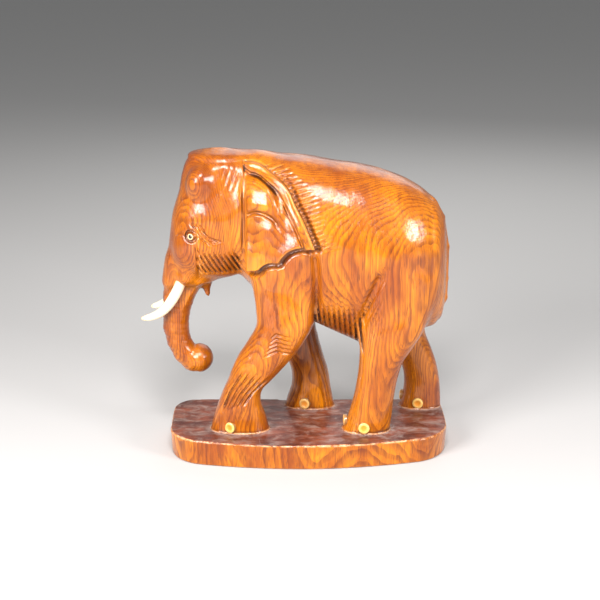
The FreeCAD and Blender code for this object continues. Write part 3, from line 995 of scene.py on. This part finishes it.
def wood_colour(n, place, fibre, pores):
    """Orange-brown wood with bands, late-wood lines, streaks and pores; ridges lightened, partly as lacquer
    worn thin and partly as a painted highlight, and hollows darkened as painted shade.
    """
    bent = ring_distance(n, place)
    ring = n.math("FRACT", n.math("DIVIDE", bent, RING_GAP))
    late = n.math("MULTIPLY", n.ramp(ring, 0.15, 0.93), n.ramp(ring, 1.0, 0.93))
    along_rings = n.add("CombineXYZ", {"X": n.math("MULTIPLY", bent, 430.0)}).outputs[0]
    tone = n.noise(along_rings, 1.0, 3.0, 0.7)
    streak = n.noise(n.stretch(place, (190.0, 190.0, 7.0)), 1.0, 3.0, 0.6)
    patch = n.noise(n.stretch(place, (34.0, 34.0, 15.0)), 1.0, 3.0, 0.55)
    base = n.mix(n.ramp(patch, 0.30, 0.70), rgb(0.32, 0.070, 0.001), rgb(0.70, 0.218, 0.003))
    base = n.mix(n.math("MULTIPLY", n.ramp(tone, 0.42, 0.70), 0.58), base, rgb(0.20, 0.030, 0.003))
    late_share = n.math("ADD", n.math("MULTIPLY", n.ramp(streak, 0.30, 0.70), 0.45), 0.26)
    base = n.mix(n.math("MULTIPLY", late, late_share), base, rgb(0.11, 0.017, 0.003))
    base = n.mix(n.math("MULTIPLY", n.ramp(streak, 0.50, 0.75), 0.42), base, rgb(0.17, 0.026, 0.003))
    base = n.mix(n.math("MULTIPLY", n.ramp(fibre, 0.45, 0.70), 0.46), base, rgb(0.15, 0.022, 0.003))
    base = n.mix(n.math("MULTIPLY", pores, 0.50), base, rgb(0.06, 0.010, 0.003))
    # pale ridges: partly lacquer worn thin, partly a painted highlight
    base = n.mix(n.math("MULTIPLY", n.ramp(n.mark("edge"), 0.06, 0.5), 0.40), base, rgb(0.86, 0.34, 0.05))
    # painted shade: the hollows and cuts darkened almost to black
    hollow = n.ramp(n.mark("hollow"), 0.08, 0.80)
    return n.mix(n.math("MULTIPLY", hollow, 0.92), base, rgb(0.035, 0.006, 0.003))


def plinth_dust(n, place):
    """How much pale haze lies on the plinth's top: worn clouds, and more round each foot."""
    clouds = n.noise(n.stretch(place, (70.0, 120.0, 70.0)), 1.0, 6.0, 0.7, 0.6)
    clouds = n.math("MULTIPLY", n.ramp(clouds, 0.44, 0.72), 0.74)
    residue = n.ramp(n.noise(place, 260.0, 4.0, 0.7), 0.36, 0.60)
    residue = n.math("MULTIPLY", n.mark("by_foot"), residue)
    return n.math("MAXIMUM", clouds, n.math("MULTIPLY", residue, 0.80))


def plinth_colour(n, place, base, top, dust):
    """The wood's colour, with the plinth's stained dusty top and its worn pale rim put over it."""
    stain = n.noise(n.stretch(place, (38.0, 60.0, 38.0)), 1.0, 5.0, 0.62)
    stained = n.mix(n.ramp(stain, 0.35, 0.7), rgb(0.085, 0.020, 0.012), rgb(0.24, 0.055, 0.022))
    base = n.mix(top, base, n.mix(dust, stained, rgb(0.34, 0.26, 0.22)))
    worn = n.math("MULTIPLY", n.mark("rim"), n.ramp(n.noise(place, 190.0, 4.0, 0.65), 0.40, 0.60))
    return n.mix(n.math("MULTIPLY", worn, 0.85), base, rgb(0.74, 0.40, 0.20))


def wood_material():
    """Lacquered orange-brown hardwood: rings about an upright pith, long fibres, painted shade darkening the
    hollows.
    """
    n = Nodes("lacquered_wood")
    place = n.place()
    fibre = n.noise(n.stretch(place, (950.0, 950.0, 28.0)), 1.0, 4.0, 0.65)
    pores = n.ramp(n.noise(n.stretch(place, (1500.0, 1500.0, 60.0)), 1.0, 1.0), 0.60, 0.69)
    top = n.mark("plinth_top")
    dust = plinth_dust(n, place)
    base = plinth_colour(n, place, wood_colour(n, place, fibre, pores), top, dust)

    # soft gouge facets and fine fibres, in the wood and, shallower, in the lacquer over it
    gouge = n.noise(n.stretch(place, (110.0, 110.0, 70.0)), 1.0, 1.0, 0.4)
    fine = n.math("ADD", fibre, n.math("MULTIPLY", pores, -0.8))
    normal = n.bump(fine, 0.00022, 0.7, n.bump(gouge, 0.0009, 0.7))
    coat_normal = n.bump(fine, 0.00013, 0.8, n.bump(gouge, 0.0008, 0.7))
    rough = n.math("ADD", n.math("MULTIPLY", n.noise(place, 120.0, 3.0), 0.25), 0.26)
    rough = n.math("ADD", rough, n.math("MULTIPLY", dust, n.math("MULTIPLY", top, 0.4)), clamp=True)
    # the lacquer has worn off most of the plinth's top
    coat = n.math("SUBTRACT", 0.95, n.math("MULTIPLY", top, 0.55))
    n.set(Base_Color=base, Roughness=rough, Normal=normal, Coat_Normal=coat_normal, Coat_Weight=coat)
    n.set(Coat_Roughness=0.12, Coat_IOR=1.5, IOR=1.45, Specular_IOR_Level=0.15)
    return n.material


def tusk_material():
    """Cream horn: a warm root, a pale middle, a yellowed tip and fine lengthwise lines."""
    n = Nodes("tusk_cream")
    place = n.place()
    along = n.mark("along")
    cloud = n.noise(place, 90.0, 4.0, 0.6)
    grain = n.noise(n.stretch(place, (700.0, 700.0, 700.0)), 1.0, 3.0)
    base = n.mix(cloud, rgb(0.74, 0.63, 0.42), rgb(0.84, 0.77, 0.60))
    base = n.mix(n.math("MULTIPLY", n.ramp(along, 0.30, 0.0), 0.7), base, rgb(0.52, 0.27, 0.08))
    base = n.mix(n.math("MULTIPLY", n.ramp(along, 0.80, 1.0), 0.55), base, rgb(0.74, 0.52, 0.22))
    base = n.mix(n.math("MULTIPLY", n.ramp(grain, 0.55, 0.75), 0.22), base, rgb(0.55, 0.40, 0.20))
    rough = n.math("ADD", n.math("MULTIPLY", cloud, 0.2), 0.22)
    n.set(Base_Color=base, Roughness=rough, Normal=n.bump(grain, 0.00012, 0.5))
    n.set(Subsurface_Weight=0.12, Subsurface_Scale=0.002, Coat_Weight=0.4, Coat_Roughness=0.15)
    return n.material


def horn_material(number):
    """One toenail's horn: pale rim, amber middle, under a film of lacquer."""
    n = Nodes("horn_%02d" % number)
    place = n.place()
    radial = n.mark("radial")
    cloud = n.noise(place, 340.0, 4.0, 0.6)
    shade = 0.86 + 0.28 * (number * 0.37 % 1.0)
    amber = rgb(0.74 * shade, 0.27 * shade, 0.025)
    base = n.mix(n.ramp(radial, 0.30, 0.85), amber, rgb(0.84, 0.52 * shade, 0.16))
    base = n.mix(n.math("MULTIPLY", n.ramp(cloud, 0.45, 0.75), 0.45), base, rgb(0.58, 0.22, 0.04))
    base = n.mix(n.math("MULTIPLY", n.ramp(radial, 0.93, 1.0), 0.75), base, rgb(0.16, 0.05, 0.015))
    rough = n.math("ADD", n.math("MULTIPLY", cloud, 0.25), 0.2)
    n.set(Base_Color=base, Roughness=rough, Normal=n.bump(cloud, 0.0003, 0.5))
    n.set(Coat_Weight=0.7, Coat_Roughness=0.12)
    return n.material


def eye_material():
    """The eye's cream disc, stained at its edge by the lacquer."""
    n = Nodes("eye_cream")
    radial = n.mark("radial")
    cloud = n.noise(n.place(), 600.0, 3.0)
    base = n.mix(cloud, rgb(0.80, 0.60, 0.28), rgb(0.90, 0.76, 0.46))
    base = n.mix(n.ramp(radial, 0.82, 1.0), base, rgb(0.34, 0.12, 0.03))
    rough = n.math("ADD", n.math("MULTIPLY", cloud, 0.2), 0.2)
    n.set(Base_Color=base, Roughness=rough, Normal=n.bump(cloud, 0.0001, 0.4))
    n.set(Coat_Weight=0.8, Coat_Roughness=0.08)
    return n.material


def pupil_material():
    """A glossy black bead."""
    n = Nodes("pupil_bead")
    cloud = n.noise(n.place(), 900.0, 2.0)
    base = n.mix(cloud, rgb(0.006, 0.004, 0.003), rgb(0.016, 0.010, 0.007))
    rough = n.math("ADD", n.math("MULTIPLY", cloud, 0.12), 0.08)
    n.set(Base_Color=base, Roughness=rough, Normal=n.bump(cloud, 0.00004, 0.3))
    n.set(Coat_Weight=1.0, Coat_Roughness=0.05)
    return n.material


# ---------------------------------------------------------------- stage, lights and camera

def floor():
    """A plain pale floor."""
    mesh = bpy.data.meshes.new("floor")
    reach, level = 6.0, -0.0002
    corners = [(-reach, -reach, level), (reach, -reach, level), (reach, reach, level), (-reach, reach, level)]
    mesh.from_pydata(corners, [], [(0, 1, 2, 3)])
    piece = placed("floor", mesh)
    n = Nodes("floor_pale")
    n.set(Base_Color=rgb(0.54, 0.535, 0.52), Roughness=0.9)
    piece.data.materials.append(n.material)


def lamp(name, place, target, size, power, tint=(1.0, 1.0, 1.0)):
    """A soft square light that looks at a point; measures in metres."""
    data = bpy.data.lights.new(name, "AREA")
    data.energy = power
    data.color = tint
    data.size = size
    light = placed(name, data)
    light.location = place
    light.rotation_euler = (Vector(target) - Vector(place)).to_track_quat("-Z", "Y").to_euler()


def lights():
    """Three soft lamps in front, a large weak one behind, and an even pale surround."""
    middle = (0.0, 0.0, 0.15)
    lamp("key", (-0.82, -0.98, 0.62), middle, 0.60, 28.0, (1.0, 0.97, 0.97))
    lamp("top", (0.02, -0.90, 1.12), middle, 0.40, 17.0, (1.0, 0.97, 0.98))
    lamp("right", (1.00, -0.80, 0.50), middle, 0.36, 13.0, (1.0, 0.97, 0.98))
    lamp("back", (0.3, 1.1, 1.0), middle, 1.0, 5.0)
    world = bpy.data.worlds.new("soft_room")
    world.use_nodes = True
    background = world.node_tree.nodes["Background"]
    background.inputs["Color"].default_value = rgb(0.92, 0.93, 0.95)
    background.inputs["Strength"].default_value = 0.28
    bpy.context.scene.world = world


# Degrees, metres, and millimetres for the lens and the film; the aim is a point in metres
CAMERA_ELEVATION = 17.0
CAMERA_DISTANCE = 1.318
CAMERA_LENS = 85.0
CAMERA_FILM = 36.0
CAMERA_AIM = (-0.0082, STANCE * MM, 0.139)


def camera():
    """The camera, level across and looking down a little at the elephant's left side."""
    data = bpy.data.cameras.new("camera")
    data.lens = CAMERA_LENS
    data.sensor_width = CAMERA_FILM
    view = placed("camera", data)
    lift = math.radians(CAMERA_ELEVATION)
    away = Vector((0.0, -math.cos(lift), math.sin(lift))) * CAMERA_DISTANCE
    view.location = Vector(CAMERA_AIM) + away
    view.rotation_euler = (-away).to_track_quat("-Z", "Y").to_euler()
    bpy.context.scene.camera = view


# ---------------------------------------------------------------- making it

body = carving()
mark_surface(body)
finish_piece(body, "elephant_carving", wood_material())
for side_name, sign in (("left", -1), ("right", 1)):
    tusk(side_name, sign)
    eye(side_name)
for number, node in enumerate(sorted(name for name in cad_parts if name.startswith("toenail"))):
    toenail(node, number)
floor()
lights()
camera()

bpy.context.scene.view_settings.view_transform = "Standard"
bpy.context.view_layer.update()
